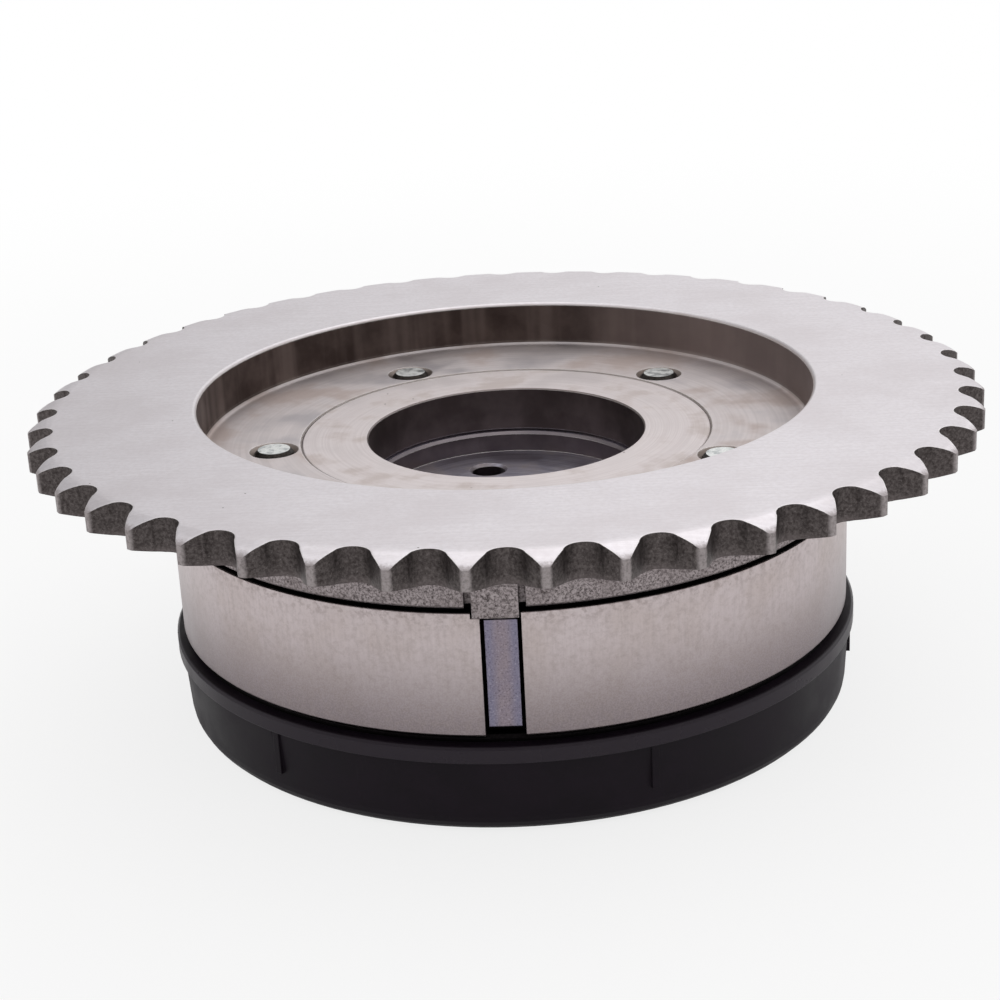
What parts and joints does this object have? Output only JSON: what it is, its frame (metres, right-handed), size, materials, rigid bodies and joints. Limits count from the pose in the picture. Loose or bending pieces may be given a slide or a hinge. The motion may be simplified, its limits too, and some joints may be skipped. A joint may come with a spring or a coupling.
{
  "type": "cam phaser",
  "caption": "Hydraulic cam phaser: chain sprocket with recessed hub bolted to a vane housing, inner vane rotor with camshaft seat, lock pin, and a black plastic spring cover.",
  "frame": {"origin": "centre of the plastic cover's resting face, on the camshaft axis", "axes": "+Z along the camshaft axis towards the camshaft, -Y through the key slot of the housing"},
  "size_m": [0.1424, 0.1424, 0.0484],
  "materials": {
    "sintered_steel": "ground top face, rough sintered flanks",
    "housing_steel": "satin, fine vertical streaks",
    "blued_steel": "smooth, slightly blued",
    "turned_steel": "fine turned",
    "cover_steel": "ground",
    "zinc_steel": "bright zinc",
    "black_plastic": "satin moulded",
    "hard_steel": "ground",
    "spring_steel": "oil-tempered",
    "seal_polymer": "moulded"
  },
  "bodies": {
    "stator": {"sprocket": "sintered_steel", "stator_housing": "housing_steel", "slot_key": "blued_steel", "front_cover": "cover_steel", "cover_bolts": "zinc_steel", "spring_cover": "black_plastic", "lock_bush_start": "hard_steel", "lock_bush_end": "hard_steel", "bias_spring": "spring_steel", "spring_post": "hard_steel", "lobe_seal_1": "seal_polymer", "lobe_seal_2": "seal_polymer", "lobe_seal_3": "seal_polymer", "lobe_seal_4": "seal_polymer", "lobe_seal_5": "seal_polymer", "lobe_spring_1": "spring_steel", "lobe_spring_2": "spring_steel", "lobe_spring_3": "spring_steel", "lobe_spring_4": "spring_steel", "lobe_spring_5": "spring_steel"},
    "rotor": {"rotor": "turned_steel", "pilot_ring": "turned_steel", "lock_pin_spring": "spring_steel", "vane_seal_1": "seal_polymer", "vane_seal_2": "seal_polymer", "vane_seal_3": "seal_polymer", "vane_seal_4": "seal_polymer", "vane_seal_5": "seal_polymer", "vane_spring_1": "spring_steel", "vane_spring_2": "spring_steel", "vane_spring_3": "spring_steel", "vane_spring_4": "spring_steel", "vane_spring_5": "spring_steel"},
    "lock_pin": {"lock_pin": "hard_steel"}
  },
  "joints": [
    {"name": "rotor_phase", "type": "hinge", "parent": "stator", "child": "rotor", "pos_m": [0, 0, 0.024], "axis": [0, 0, 1], "range_deg": [0, 25], "stiffness_Nm_per_rad": 0.4, "springref_deg": -20.05, "deforming": ["bias_spring"]},
    {"name": "lock_pin_slide", "type": "slide", "parent": "rotor", "child": "lock_pin", "axis": [0, 0, 1], "range_m": [0, 0.003], "deforming": ["lock_pin_spring"]}
  ]
}
